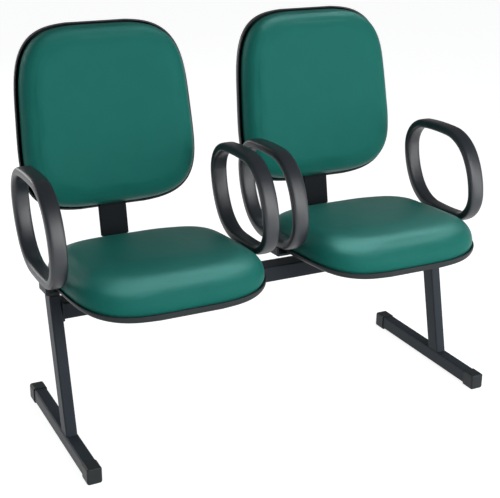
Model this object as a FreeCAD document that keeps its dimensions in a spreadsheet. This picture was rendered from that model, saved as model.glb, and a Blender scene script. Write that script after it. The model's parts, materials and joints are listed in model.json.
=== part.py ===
"""Two-place beam seating: two upholstered shells on one steel beam, with loop arms and raked legs.

Millimetres and degrees. X runs along the beam, to the right of someone who faces the seats.
Y runs from the front to the rear, Z is up. The origin is on the floor, in the middle of the footprint.
"""

import FreeCAD, Part
import math
import os

import Sketcher

Vec = FreeCAD.Vector
Turn = FreeCAD.Rotation
Place = FreeCAD.Placement
X_AXIS = Vec(1, 0, 0)
Y_AXIS = Vec(0, 1, 0)
Z_AXIS = Vec(0, 0, 1)

# Driving sizes: name, value, what it is.
SIZES = [
    # the beam
    ("beam_back", -24.5, "beam's centre line behind the origin"),
    ("beam_up", 317.0, "beam's centre line above the floor"),
    ("beam_deep", 50.0, "beam tube, front to rear"),
    ("beam_high", 40.0, "beam tube, height"),
    ("beam_wall", 2.0, "beam tube's wall"),
    ("beam_corner", 4.0, "beam tube's outer corner radius"),
    # the legs
    ("leg_out", 512.5, "middle of a leg from the middle of the beam"),
    ("leg_wide", 27.0, "leg column, along the beam"),
    ("leg_deep", 40.0, "leg column, front to rear"),
    ("leg_wall", 2.0, "leg column's wall"),
    ("leg_corner", 4.0, "leg column's outer corner radius"),
    ("leg_top", 352.0, "top of the column above the floor"),
    ("leg_forward", 73.0, "how far the column's foot stands in front of its top"),
    ("leg_lid", 3.0, "thickness of the plug's lid on the column"),
    ("plug_deep", 14.0, "how far a plug reaches into its tube"),
    # the foot bars and their caps
    ("bar_wide", 31.0, "foot bar, along the beam"),
    ("bar_high", 34.0, "foot bar, height"),
    ("bar_wall", 2.0, "foot bar's wall"),
    ("bar_corner", 4.0, "foot bar's outer corner radius"),
    ("foot_front", 250.0, "front end of a foot in front of the beam's centre"),
    ("foot_rear", 199.0, "rear end of a foot behind the beam's centre"),
    ("cap_long", 36.0, "length of a foot cap"),
    ("cap_side", 2.0, "cap's wall at the sides and top"),
    ("cap_under", 4.0, "cap's wall under the bar"),
    ("cap_end", 4.0, "cap's end wall"),
    ("cap_round", 4.5, "rounding of a cap's outer edges"),
    # the joint of beam and leg
    ("end_plate", 4.0, "thickness of the plate between leg and beam"),
    ("plate_proud", 4.0, "how far that plate stands out round the beam"),
    ("spigot_long", 90.0, "stub tube that enters the beam"),
    ("spigot_first", 25.0, "its first bolt from the beam's end"),
    ("spigot_second", 65.0, "its second bolt from the beam's end"),
    ("slip", 0.25, "clearance of one tube inside another, each side"),
    ("rest_gap", 0.2, "gap between pieces that lie on each other"),
    ("foam_gap", 0.5, "gap under the foam, which the curved plywood needs"),
    ("beam_bolt", 8.0, "thread of the beam's bolts"),
    ("plate_bolt", 6.0, "thread of the bolts in the plywood"),
    ("beam_bolt_head", 13.0, "head and nut of a beam bolt, across flats"),
    ("beam_head_high", 5.3, "height of a beam bolt's head"),
    ("beam_nut_high", 6.5, "height of a beam bolt's nut"),
    ("plate_bolt_head", 10.0, "head of a plywood bolt, across flats"),
    ("plate_head_high", 4.0, "height of a plywood bolt's head"),
    ("hole_play", 0.4, "a bolt hole's radius beyond the bolt's"),
    ("bolt_past", 0.5, "how far a stub tube's bolt stands past its nut"),
    ("bolt_short", 1.0, "gap between a clamp bolt's end and the saddle bracket above it"),
    ("tee_barrel", 8.2, "diameter of a tee nut's barrel"),
    ("tee_long", 9.0, "length of a tee nut's barrel"),
    ("tee_flange", 18.6, "diameter of a tee nut's flange"),
    ("tee_flange_high", 1.4, "thickness of a tee nut's flange"),
    ("tee_play", 0.2, "clearance round a tee nut in its plywood"),
    ("screw_thick", 3.6, "diameter of the screws in the shells"),
    ("screw_bite", 8.5, "how far an under-shell screw enters the plywood"),
    ("rear_screw_bite", 6.0, "how far a rear shell screw enters the plywood"),
    ("screw_play", 0.4, "clearance of a screw in its shell"),
    ("tray_screw_head", 7.6, "diameter of an under-shell screw's head"),
    ("tray_head_high", 2.4, "height of an under-shell screw's head"),
    ("rear_screw_head", 8.8, "diameter of a rear shell screw's head"),
    ("rear_head_high", 2.8, "height of a rear shell screw's head"),
    # the seat
    ("seat_pitch", 575.0, "distance between the middles of the two seats"),
    ("seat_forward", 61.0, "seat's middle in front of the beam's centre line"),
    ("seat_up", 375.0, "underside of the seat, at its middle, above the floor"),
    ("seat_tilt", 3.4, "slope of the seat, lower at the rear"),
    ("seat_wide", 456.0, "seat's width"),
    ("seat_deep", 412.0, "seat's depth"),
    ("seat_power", 3.7, "how square the seat's outline is; 2 is an ellipse"),
    ("seat_drop", 21.0, "how far the front edge curves down"),
    ("seat_flat", 0.3, "share of the front half that stays flat"),
    ("seat_rim", 12.5, "height of the under-shell's rim"),
    ("shell_wall", 3.0, "wall of the moulded shells"),
    ("tray_tuck", 6.0, "how far the under-shell's sides round in"),
    ("seat_ply", 12.0, "seat plywood's thickness"),
    ("ply_inset", 12.0, "plywood's edge inside the shell's outline"),
    ("seat_pad", 57.5, "height of the seat cushion above the rim, at the middle"),
    ("skin", 2.0, "upholstery cover's thickness"),
    ("pad_reveal", 1.0, "rim of the under-shell left showing round the seat cushion"),
    ("pad_edge", 16.0, "height above the rim at which a cushion is widest"),
    ("pad_tuck", 3.5, "how far a cushion's sides draw in at the rim"),
    ("pad_shoulder", 34.0, "width of a cushion's rounded shoulder at its sides"),
    ("pad_crown", 0.12, "share of a cushion's height above its edge that is crown"),
    ("pad_fall", 64.0, "length over which a cushion rounds down to its ends"),
    ("pad_end", 4.0, "how far a cushion's end face rises above its widest level"),
    ("tray_screw_side", 130.0, "under-shell screws beside the seat's middle"),
    ("tray_screw_front", 40.0, "front under-shell screws in front of the seat's middle"),
    ("tray_screw_rear", 150.0, "rear under-shell screws behind the seat's middle"),
    # the back
    ("back_lean", 10.3, "how far the back leans from upright"),
    ("bar_reach", 262.0, "bend of the back bar behind the seat's middle"),
    ("back_rise", 340.0, "middle of the back above the bar's bend, along the bar"),
    ("back_wide", 442.0, "back's width"),
    ("back_tall", 448.0, "back's height"),
    ("back_power", 3.8, "how square the back's outline is"),
    ("back_taper", 0.05, "how much narrower the top is and wider the bottom"),
    ("back_curve", 20.0, "how far the sides come forward of the middle"),
    ("back_shell", 33.0, "rear face of the rear shell behind the plywood's front"),
    ("back_rim", 9.5, "rim of the rear shell behind the plywood's front"),
    ("shell_tuck", 10.0, "how far the rear shell's sides round in"),
    ("shell_ends", 0.75, "depth of the rear shell at its ends, as a share of the full one"),
    ("shell_fall", 30.0, "length over which it gets that much shallower"),
    ("back_reveal", 6.0, "rim of the rear shell left showing round the cushion"),
    ("back_ply", 10.0, "back plywood's thickness"),
    ("back_pad", 45.0, "front of the back cushion ahead of the plywood's front"),
    ("back_screw_side", 135.0, "rear shell screws beside the back's middle"),
    ("back_screw_up", 130.0, "rear shell screws above and below the back's middle"),
    ("screw_recess", 7.0, "depth of a rear shell screw's recess"),
    ("recess_wide", 10.0, "diameter of that recess"),
    ("boss_wide", 15.0, "diameter of the boss inside the shell at such a screw"),
    # the back bar
    ("strap_wide", 65.0, "back bar's width"),
    ("strap_thick", 6.0, "back bar's thickness"),
    ("strap_bend", 38.0, "radius of the back bar's bend, at its middle"),
    ("strap_front", 10.0, "front end of the back bar ahead of the seat's middle"),
    ("strap_top", 45.0, "top end of the back bar below the back's middle"),
    ("sleeve_wall", 3.0, "wall of the moulded sleeve on the bar"),
    ("sleeve_in", 2.0, "how far the sleeve reaches into the rear shell"),
    ("sleeve_corner", 4.0, "outer corner radius of the sleeve"),
    ("sleeve_play", 0.5, "clearance of the sleeve in the rear shell"),
    ("sleeve_up", 44.0, "lower end of the sleeve above the bend's corner"),
    ("strap_hole_front", 12.0, "front hole of the back bar behind the seat's middle"),
    ("strap_hole_rear", 100.0, "rear hole of the back bar behind the seat's middle"),
    ("back_hole_first", 22.0, "first hole of the back bar below its top"),
    ("back_hole_step", 40.0, "distance between those holes"),
    # the seat's bracket
    ("saddle_wide", 112.0, "saddle bracket, along the beam"),
    ("saddle_long", 160.0, "saddle bracket, front to rear"),
    ("saddle_sheet", 3.0, "saddle bracket's sheet"),
    ("saddle_grip", 14.0, "how far its cheeks reach down beside the beam"),
    ("saddle_slope", 26.0, "bevel of the cheeks' lower corners"),
    ("saddle_rear", 5.0, "saddle bracket's middle behind the beam's"),
    ("saddle_hole_in", 13.0, "its bolts in from its edges"),
    ("clamp_long", 94.0, "clamp plate, front to rear"),
    ("clamp_sheet", 5.0, "clamp plate's thickness"),
    ("clamp_corner", 6.0, "clamp plate's corner radius"),
    ("clamp_hole_in", 14.0, "clamp bolts in from the plate's ends"),
    ("clamp_hole_off", 4.0, "clamp bolts clear of the beam's sides"),
    # the arms
    ("arm_out", 249.5, "middle of an arm from the middle of its seat"),
    ("arm_back", 44.0, "middle of an arm's loop behind the seat's middle"),
    ("arm_up", 148.0, "middle of an arm's loop above the seat's underside"),
    ("arm_wide", 40.0, "arm's width"),
    ("arm_thick", 22.0, "arm's thickness, across the loop"),
    ("arm_edge", 8.0, "rounding of an arm's edges"),
    ("arm_side", 180.0, "radius of the loop's front and rear"),
    ("arm_tight", 68.0, "radius of its upper rear and lower front corners"),
    ("arm_flat", 610.0, "radius of its top and bottom"),
    ("arm_easy", 111.0, "radius of its upper front and lower rear corners"),
    ("lug_thick", 5.0, "arm bracket's steel"),
    ("lug_deep", 52.0, "arm bracket, front to rear"),
    ("lug_in", 92.0, "how far an arm bracket reaches in under the seat"),
    ("lug_sunk", 12.0, "how far an arm bracket stands in the arm"),
    ("lug_play", 0.15, "clearance of the bracket in the arm"),
    ("lug_hole_first", 16.0, "first bolt of an arm bracket from its inner end"),
    ("lug_hole_second", 42.0, "second bolt from there"),
    ("lug_hole_step", 13.0, "those bolts before and behind the bracket's middle"),
]

doc = FreeCAD.newDocument("beam_seating")
sheet = doc.addObject("Spreadsheet::Sheet", "sizes")
for row, (alias, value, words) in enumerate(SIZES, start=1):
    sheet.set(f"A{row}", words)
    sheet.set(f"B{row}", str(value))
    sheet.setAlias(f"B{row}", alias)
doc.recompute()

nodes = {}


def size(expression):
    """The value of an expression in the sheet's names, such as "leg_wide / 2"."""
    return float(sheet.evalExpression(expression))


def keep(obj, name, place=None):
    """Names a finished sub-part and puts it in its place."""
    obj.Label = name
    if place is not None:
        obj.Placement = place
    nodes[name] = obj
    return obj


def bound(expression):
    """An expression in bare names, as other objects of the document have to write it."""
    words = expression
    for alias, _, _ in sorted(SIZES, key=lambda row: -len(row[0])):
        parts = words.split(alias)
        joined = parts[0]
        for part in parts[1:]:
            fresh = not joined or not (joined[-1].isalnum() or joined[-1] in "._")
            whole = not part or not (part[0].isalnum() or part[0] == "_")
            joined += ("sizes." + alias if fresh and whole else alias) + part
        words = joined
    return words


# Bodies made from sketches.


def new_body(name):
    return doc.addObject("PartDesign::Body", name)


def new_sketch(body, tag, role, offset=None):
    """An empty sketch on one of the body's own planes; offset, an expression, moves it along the normal."""
    sketch = body.newObject("Sketcher::SketchObject", f"{body.Name}_{tag}")
    plane = next(f for f in body.Origin.OriginFeatures if f.Role == role)
    sketch.AttachmentSupport = [(plane, "")]
    sketch.MapMode = "FlatFace"
    if offset is not None:
        sketch.setExpression("AttachmentOffset.Base.z", bound(offset))
    return sketch


def constrain(sketch, kind, args, expression, tag):
    """One dimension of a sketch, tied to an expression."""
    index = sketch.addConstraint(Sketcher.Constraint(kind, *args, size(expression)))
    sketch.renameConstraint(index, tag)
    sketch.setExpression("Constraints." + tag, bound(expression))


def add_rectangle(sketch, tag, wide, high, radius):
    """A rectangle with round corners about the sketch's origin; its three sizes are expressions."""
    half_w, half_h, r = size(wide) / 2, size(high) / 2, size(radius)
    lines = []
    arcs = []
    for turn in range(4):
        reach, side = (half_h, half_w) if turn % 2 == 0 else (half_w, half_h)
        spin = Turn(Z_AXIS, 90 * turn)
        start = spin.multVec(Vec(r - side, -reach, 0))
        end = spin.multVec(Vec(side - r, -reach, 0))
        middle = spin.multVec(Vec(side - r, r - reach, 0))
        angle = math.radians(90 * turn - 90)
        lines.append(sketch.addGeometry(Part.LineSegment(start, end), False))
        circle = Part.Circle(middle, Z_AXIS, r)
        arcs.append(sketch.addGeometry(Part.ArcOfCircle(circle, angle, angle + math.pi / 2), False))
    for turn in range(4):
        sketch.addConstraint(Sketcher.Constraint("Tangent", lines[turn], 2, arcs[turn], 1))
        sketch.addConstraint(Sketcher.Constraint("Tangent", arcs[turn], 2, lines[(turn + 1) % 4], 1))
        kind = "Horizontal" if turn % 2 == 0 else "Vertical"
        sketch.addConstraint(Sketcher.Constraint(kind, lines[turn]))
    for turn in range(3):
        sketch.addConstraint(Sketcher.Constraint("Equal", arcs[turn], arcs[turn + 1]))
    sketch.addConstraint(Sketcher.Constraint("Symmetric", lines[0], 1, lines[2], 1, -1, 1))
    constrain(sketch, "Radius", (arcs[0],), radius, tag + "_radius")
    constrain(sketch, "DistanceX", (lines[3], 1, lines[1], 1), wide, tag + "_wide")
    constrain(sketch, "DistanceY", (lines[0], 1, lines[2], 1), high, tag + "_high")


def add_polygon(sketch, tag, corners):
    """A closed run of lines through corners, each a pair of expressions."""
    points = [Vec(size(a), size(b), 0) for a, b in corners]
    count = len(points)
    first = None
    for i, point in enumerate(points):
        line = sketch.addGeometry(Part.LineSegment(point, points[(i + 1) % count]), False)
        first = line if first is None else first
    for i in range(count):
        after = first + (i + 1) % count
        sketch.addConstraint(Sketcher.Constraint("Coincident", first + i, 2, after, 1))
    for i, (a, b) in enumerate(corners):
        constrain(sketch, "DistanceX", (-1, 1, first + i, 1), a, f"{tag}_a{i}")
        constrain(sketch, "DistanceY", (-1, 1, first + i, 1), b, f"{tag}_b{i}")


def add_circles(sketch, tag, middles, radius):
    """Circles of one radius; middles are pairs of expressions."""
    for i, (a, b) in enumerate(middles):
        circle = Part.Circle(Vec(size(a), size(b), 0), Z_AXIS, size(radius))
        index = sketch.addGeometry(circle, False)
        constrain(sketch, "DistanceX", (-1, 1, index, 3), a, f"{tag}_a{i}")
        constrain(sketch, "DistanceY", (-1, 1, index, 3), b, f"{tag}_b{i}")
        constrain(sketch, "Radius", (index,), radius, f"{tag}_r{i}")


def pad(body, sketch, length, both_ways=False, backwards=False):
    feature = body.newObject("PartDesign::Pad", sketch.Name + "_pad")
    feature.Profile = sketch
    feature.SideType = "Symmetric" if both_ways else "One side"
    feature.Reversed = backwards
    feature.setExpression("Length", bound(length))
    sketch.Visibility = False
    return feature


def pocket(body, sketch, length=None, both_ways=False):
    """A cut against the sketch's normal of the given length, or right through both ways when it has none."""
    feature = body.newObject("PartDesign::Pocket", sketch.Name + "_pocket")
    feature.Profile = sketch
    feature.SideType = "Symmetric" if both_ways or length is None else "One side"
    if length is None:
        feature.Type = "ThroughAll"
    else:
        feature.setExpression("Length", bound(length))
    sketch.Visibility = False
    return feature


def fillet(body, feature, radius, wanted):
    """Rounds the edges of a feature for which wanted(edge) is true."""
    doc.recompute()
    names = [f"Edge{i}" for i, edge in enumerate(feature.Shape.Edges, start=1) if wanted(edge)]
    rounded = body.newObject("PartDesign::Fillet", body.Name + "_round")
    rounded.Base = (feature, names)
    rounded.setExpression("Radius", bound(radius))
    return rounded


def along(edge, axis):
    """Whether an edge is straight and runs along an axis."""
    if edge.Curve.TypeId != "Part::GeomLine":
        return False
    return abs(edge.tangentAt(edge.FirstParameter).dot(axis)) > 0.999


# Frames of reference. The beam's is on its centre line, in the middle.
# A seat's is on its underside, in its middle. A back's is in its middle, at the plywood's front.

BEAM = Place(Vec(0, size("beam_back"), size("beam_up")), Turn())
SIDES = {"left": -1, "right": 1}


def seat_place(side):
    middle = Vec(side * size("seat_pitch / 2"), size("beam_back - seat_forward"), size("seat_up"))
    return Place(middle, Turn(X_AXIS, -size("seat_tilt")))


# The back bar's upright lies on the plywood, whose front curves by back_curve:
# its middle is half of that behind the frame's origin.
STRAP_BEHIND = size("back_curve / 2 + back_ply + rest_gap + strap_thick / 2")
# The bar's flat run lies under the saddle bracket's web.
BELOW = "(rest_gap + saddle_sheet + rest_gap + strap_thick / 2)"
STRAP_BELOW = size(BELOW)
# The upright's lean as the seat's frame sees it.
LEAN = "(back_lean - seat_tilt)"
STRAP_LEAN = size(LEAN)


def back_place(side):
    """The back's frame, worked out from the bend of the bar that carries it."""
    lean = Turn(X_AXIS, -STRAP_LEAN)
    bend = Vec(0, size("bar_reach"), -STRAP_BELOW)
    middle = bend + lean.multVec(Vec(0, -STRAP_BEHIND, size("back_rise")))
    return seat_place(side).multiply(Place(middle, lean))


# The beam, a rectangular steel tube between the legs.


BEAM_HALF = "(leg_out - leg_wide / 2 - end_plate)"
# Two bolts from below hold each end of the beam, at these distances from it.
SPIGOT_STEPS = ("spigot_first", "spigot_second")
SPIGOT_HOLES = [(f"{side} * ({BEAM_HALF} - {step})", "0") for side in (-1, 1) for step in SPIGOT_STEPS]


def make_beam():
    body = new_body("beam_tube")
    ring = new_sketch(body, "section", "YZ_Plane")
    add_rectangle(ring, "outer", "beam_deep", "beam_high", "beam_corner")
    bore = "2 * beam_wall"
    add_rectangle(ring, "inner", f"beam_deep - {bore}", f"beam_high - {bore}", "beam_corner - beam_wall")
    pad(body, ring, f"2 * {BEAM_HALF}", both_ways=True)
    holes = new_sketch(body, "holes", "XY_Plane")
    add_circles(holes, "bolt", SPIGOT_HOLES, "beam_bolt / 2 + hole_play")
    pocket(body, holes, "beam_high")
    keep(body, "beam_tube", BEAM)


# At each end a plate welded to the leg closes the beam, and a stub tube welded to the plate enters it.


def make_end_plate(name, side):
    body = new_body(name)
    plate = new_sketch(body, "plate", "YZ_Plane")
    add_rectangle(plate, "plate", "beam_deep + 2 * plate_proud", "beam_high + 2 * plate_proud", "beam_corner")
    pad(body, plate, "end_plate", backwards=side > 0)
    keep(body, name, Place(Vec(side * size("leg_out - leg_wide / 2"), BEAM.Base.y, BEAM.Base.z), Turn()))


def make_spigot(name, side):
    body = new_body(name)
    ring = new_sketch(body, "section", "YZ_Plane")
    inset = "2 * (beam_wall + slip)"
    bore = "2 * (2 * beam_wall + slip)"
    add_rectangle(ring, "outer", f"beam_deep - {inset}", f"beam_high - {inset}", "beam_corner - beam_wall")
    add_rectangle(ring, "inner", f"beam_deep - {bore}", f"beam_high - {bore}", "beam_corner / 4")
    pad(body, ring, "spigot_long", backwards=side > 0)
    holes = new_sketch(body, "holes", "XY_Plane")
    middles = [(f"{-side} * {step}", "0") for step in SPIGOT_STEPS]
    add_circles(holes, "bolt", middles, "beam_bolt / 2 + hole_play")
    pocket(body, holes, "beam_high")
    keep(body, name, Place(Vec(side * size(BEAM_HALF), BEAM.Base.y, BEAM.Base.z), Turn()))


# A leg: a raked column welded on a level foot bar. The column's frame is at its foot.

BAR_TOP = "(cap_under + bar_high)"
LEG_HIGH = f"(leg_top - {BAR_TOP})"
LEG_HALF = f"(leg_deep / 2 * sqrt(1 + (leg_forward / {LEG_HIGH}) ^ 2))"


def raked(inset, low, high):
    """The side view of the column between two heights, drawn in by a wall."""
    half = f"({LEG_HALF} - ({inset}))"
    rake = f"leg_forward / {LEG_HIGH}"
    corners = []
    for sign, level in ((-1, low), (1, low), (1, high), (-1, high)):
        corners.append((f"{sign} * {half} + ({level}) * {rake}", level))
    return corners


def leg_place(side):
    return Place(Vec(side * size("leg_out"), BEAM.Base.y - size("leg_forward"), size(BAR_TOP)), Turn())


def make_leg(name, side):
    body = new_body(name)
    outer = new_sketch(body, "side", "YZ_Plane")
    add_polygon(outer, "outer", raked("0", "0", LEG_HIGH))
    column = pad(body, outer, "leg_wide", both_ways=True)
    rake = Vec(0, size("leg_forward"), size(LEG_HIGH)).normalize()
    fillet(body, column, "leg_corner", lambda edge: along(edge, rake))
    inner = new_sketch(body, "bore", "YZ_Plane")
    add_polygon(inner, "inner", raked("leg_wall", "0", LEG_HIGH))
    pocket(body, inner, "leg_wide - 2 * leg_wall", both_ways=True)
    keep(body, name, leg_place(side))


def make_leg_plug(name, side):
    """The moulded plug that closes the top of the column."""
    body = new_body(name)
    lid = new_sketch(body, "lid", "YZ_Plane")
    add_polygon(lid, "lid", raked("0", LEG_HIGH, f"{LEG_HIGH} + leg_lid"))
    top = pad(body, lid, "leg_wide", both_ways=True)
    doc.recompute()
    level = top.Shape.BoundBox.ZMax
    upper = lambda edge: all(v.Z > level - 0.01 for v in edge.Vertexes)
    fillet(body, top, "leg_lid / 2", upper)
    stem = new_sketch(body, "stem", "YZ_Plane")
    add_polygon(stem, "stem", raked("leg_wall + slip", f"{LEG_HIGH} - plug_deep", LEG_HIGH))
    pad(body, stem, "leg_wide - 2 * leg_wall - 2 * slip", both_ways=True)
    keep(body, name, leg_place(side))


def make_foot_bar(name, side):
    body = new_body(name)
    ring = new_sketch(body, "section", "XZ_Plane")
    add_rectangle(ring, "outer", "bar_wide", "bar_high", "bar_corner")
    bore = "2 * bar_wall"
    add_rectangle(ring, "inner", f"bar_wide - {bore}", f"bar_high - {bore}", "bar_corner - bar_wall")
    pad(body, ring, "foot_front + foot_rear - 2 * cap_end", backwards=True)
    front = BEAM.Base.y - size("foot_front - cap_end")
    keep(body, name, Place(Vec(side * size("leg_out"), front, size("cap_under + bar_high / 2")), Turn()))


def make_foot_cap(name, side, rear):
    """A moulded cap over the end of a foot bar; its underside is what the seating stands on."""
    body = new_body(name)
    outline = new_sketch(body, "outline", "XZ_Plane")
    tall = "bar_high + cap_side + cap_under"
    add_rectangle(outline, "outer", "bar_wide + 2 * cap_side", tall, "bar_corner + cap_side")
    block = pad(body, outline, "cap_long", backwards=True)
    end = lambda edge: all(v.Y < 0.01 for v in edge.Vertexes)
    fillet(body, block, "cap_round", end)
    mouth = new_sketch(body, "mouth", "XZ_Plane", offset="-cap_end")
    rise = "(cap_under - cap_side) / 2"
    half = "(bar_wide / 2 + rest_gap / 2)"
    low = f"{rise} - bar_high / 2 - rest_gap / 2"
    high = f"{rise} + bar_high / 2 + rest_gap / 2"
    add_polygon(mouth, "mouth", [(f"-{half}", low), (half, low), (half, high), (f"-{half}", high)])
    pocket(body, mouth, "cap_long")
    middle = size(tall) / 2
    at = BEAM.Base.y + (size("foot_rear") if rear else -size("foot_front"))
    keep(body, name, Place(Vec(side * size("leg_out"), at, middle), Turn(Z_AXIS, 180 if rear else 0)))


# Cushions, shells and plywood are lofts through sections at these shares of the half length.
STATIONS = (-0.995, -0.97, -0.92, -0.84, -0.7, -0.5, -0.25, 0.0, 0.25, 0.5, 0.7, 0.84, 0.92, 0.97, 0.995)
# Where a moulded shell's side bends most: share of its height, and share of its tuck.
KNEE_UP = 0.35
KNEE_IN = 0.28
# A shell's side rounds in by at most this share of a section's half width.
TUCK_SHARE = 0.3
# Where the lower side of a cushion bulges: share of its height, and share of its tuck.
BULGE_UP = 0.55
BULGE_IN = 0.2
# A cushion's shoulder takes up at most this share of a section's half width.
SHOULDER_SHARE = 0.4
# How far cutting tools reach past what they cut.
OVER = 5.0
PAIR = (-1, 1)


def seat_station(share, inset):
    """Where a section of the seat is, how wide it is there and how far the edge has curved down."""
    power = size("seat_power")
    half = (1 - abs(share) ** power) ** (1 / power)
    at = share * (size("seat_deep / 2") - inset)
    flat = size("seat_flat")
    forward = max(0.0, (-at / size("seat_deep / 2") - flat) / (1 - flat))
    return {
        "at": at,
        "half": half * size("seat_wide / 2") - inset,
        "drop": size("seat_drop") * forward**2,
        "end": (1 - abs(share)) * size("seat_deep / 2"),
    }


def back_station(share, inset):
    power = size("back_power")
    half = (1 - abs(share) ** power) ** (1 / power) * (1 - size("back_taper") * share)
    return {
        "at": share * (size("back_tall / 2") - inset),
        "half": half * size("back_wide / 2") - inset,
        "end": (1 - abs(share)) * size("back_tall / 2"),
    }


def on_seat(station):
    """Turns across and up into a point of the seat's frame."""
    return lambda across, up: Vec(across, station["at"], up - station["drop"])


def on_back(station):
    """Turns across and forward of the plywood's curved front into a point of the back's frame."""
    half_wide = size("back_wide / 2")

    def point(across, forward):
        behind = size("back_curve") * (0.5 - (across / half_wide) ** 2)
        return Vec(across, behind - forward, station["at"])

    return point


def across_edge(point, half, level, curved):
    """The edge from one side to the other at a level: straight on the seat, an arc on the back."""
    a, b = point(-half, level), point(half, level)
    if curved:
        return Part.Arc(a, point(0, level), b).toShape()
    return Part.LineSegment(a, b).toShape()


def slab_wire(point, half, low, high, curved):
    """A plain section between two levels."""
    right = Part.LineSegment(point(half, low), point(half, high)).toShape()
    left = Part.LineSegment(point(-half, high), point(-half, low)).toShape()
    top = across_edge(point, half, high, curved)
    return Part.Wire([across_edge(point, half, low, curved), right, top, left])


def tray_wire(point, half, low, high, tuck, curved):
    """A section of a moulded shell: its sides round in by tuck towards the low level."""
    mid = low + (high - low) * KNEE_UP
    bulge = half - tuck * KNEE_IN
    right = Part.Arc(point(half - tuck, low), point(bulge, mid), point(half, high)).toShape()
    left = Part.Arc(point(-half, high), point(-bulge, mid), point(tuck - half, low)).toShape()
    top = across_edge(point, half, high, curved)
    return Part.Wire([across_edge(point, half - tuck, low, curved), right, top, left])


def cushion_wire(point, half, base, rim, edge, crown_high, curved):
    """A section of a cushion: sides drawn in towards the rim, round shoulders and a crown."""
    foot = half - size("pad_tuck") * half / size("seat_wide / 2")
    shoulder = min(size("pad_shoulder"), SHOULDER_SHARE * half)
    shoulder_high = edge + (crown_high - edge) * (1 - size("pad_crown"))
    bend = 1 - math.sqrt(0.5)

    def one_side(sign):
        bulge = point(sign * (half - BULGE_IN * (half - foot)), rim + BULGE_UP * (edge - rim))
        corner = point(sign * (half - bend * shoulder), edge + (1 - bend) * (shoulder_high - edge))
        at_rim = point(sign * foot, rim)
        at_edge = point(sign * half, edge)
        side = [Part.Arc(at_rim, bulge, at_edge).toShape()]
        side.append(Part.Arc(at_edge, corner, point(sign * (half - shoulder), shoulder_high)).toShape())
        if base < rim:
            side.insert(0, Part.LineSegment(point(sign * foot, base), at_rim).toShape())
        return side

    right, left = point(half - shoulder, shoulder_high), point(shoulder - half, shoulder_high)
    crown = Part.Arc(right, point(0, crown_high), left).toShape()
    bottom = across_edge(point, foot, base, curved)
    return Part.Wire([bottom] + one_side(1) + [crown] + one_side(-1)[::-1])


def loft(wires):
    shape = Part.makeLoft(wires, True, False)
    return shape if shape.Volume > 0 else shape.reversed()


def rounded_height(end, full, edge, reach):
    """Height near an end: a quarter ellipse from the edge's height up to the full one."""
    share = min(1.0, end / reach)
    return edge + (full - edge) * math.sqrt(1 - (1 - share) ** 2)


def cushion(station_of, frame_of, rim, base, full, outline_in, inset, curved):
    """The solid of a cushion that starts at its rim, drawn in by inset on every side but its base."""
    edge = rim + size("pad_edge")
    wires = []
    for share in STATIONS:
        station = station_of(share, outline_in + inset)
        high = rounded_height(station["end"], full, edge + size("pad_end"), size("pad_fall")) - inset
        wires.append(cushion_wire(frame_of(station), station["half"], base, rim, edge, high, curved))
    return loft(wires)


def seat_loft(low, high, inset, tuck=0.0):
    wires = []
    for share in STATIONS:
        station = seat_station(share, inset)
        point = on_seat(station)
        if tuck:
            wires.append(tray_wire(point, station["half"], low, high, tuck, False))
        else:
            wires.append(slab_wire(point, station["half"], low, high, False))
    return loft(wires)


def back_loft(low, high, inset, tuck=0.0):
    """As seat_loft; levels are forward of the plywood's front, so what lies behind has negative ones."""
    wires = []
    for share in STATIONS:
        station = back_station(share, inset)
        point = on_back(station)
        if tuck:
            shrink = rounded_height(station["end"], 1.0, size("shell_ends"), size("shell_fall"))
            side_tuck = min(tuck, TUCK_SHARE * station["half"])
            wires.append(tray_wire(point, station["half"], low * shrink, high, side_tuck, True))
        else:
            wires.append(slab_wire(point, station["half"], low, high, True))
    return loft(wires)


def rod(radius, start, end):
    """A round bar between two points."""
    return Part.makeCylinder(radius, (end - start).Length, start, end - start)


def feature(name, shape, place):
    obj = doc.addObject("Part::Feature", name)
    obj.Shape = shape
    return keep(obj, name, place)


# Bolts and screws of a place, as pairs of expressions: across and along, in the seat's or the back's frame.

SADDLE_MIDDLE = "(seat_forward + saddle_rear)"
SADDLE_STEPS = ("(saddle_wide / 2 - saddle_hole_in)", "(saddle_long / 2 - saddle_hole_in)")
SADDLE_HOLES = [
    (f"{a} * {SADDLE_STEPS[0]}", f"{b} * {SADDLE_STEPS[1]} + {SADDLE_MIDDLE}")
    for a in PAIR
    for b in PAIR
]
STRAP_HOLES = [("0", "strap_hole_front"), ("0", "strap_hole_rear")]
LUG_HOLES = [
    (f"{side} * (arm_out - lug_in + {step})", f"{b} * lug_hole_step + arm_back")
    for side in PAIR
    for step, b in (("lug_hole_first", 1), ("lug_hole_second", -1))
]
SEAT_HOLES = SADDLE_HOLES + STRAP_HOLES + LUG_HOLES
SEAT_SCREWS = [(f"{a} * tray_screw_side", b) for a in PAIR for b in ("-tray_screw_front", "tray_screw_rear")]
BACK_HOLES = [("0", f"-(strap_top + back_hole_first + {n} * back_hole_step)") for n in range(3)]
BACK_SCREWS = [(f"{a} * back_screw_side", f"{b} * back_screw_up") for a in PAIR for b in PAIR]
# Bolts of the clamp plate, about the beam's centre line.
CLAMP_HOLES = [
    (f"{a} * (saddle_wide / 2 - clamp_hole_in)", f"{b} * (beam_deep / 2 + beam_bolt / 2 + clamp_hole_off)")
    for a in PAIR
    for b in PAIR
]

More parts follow.
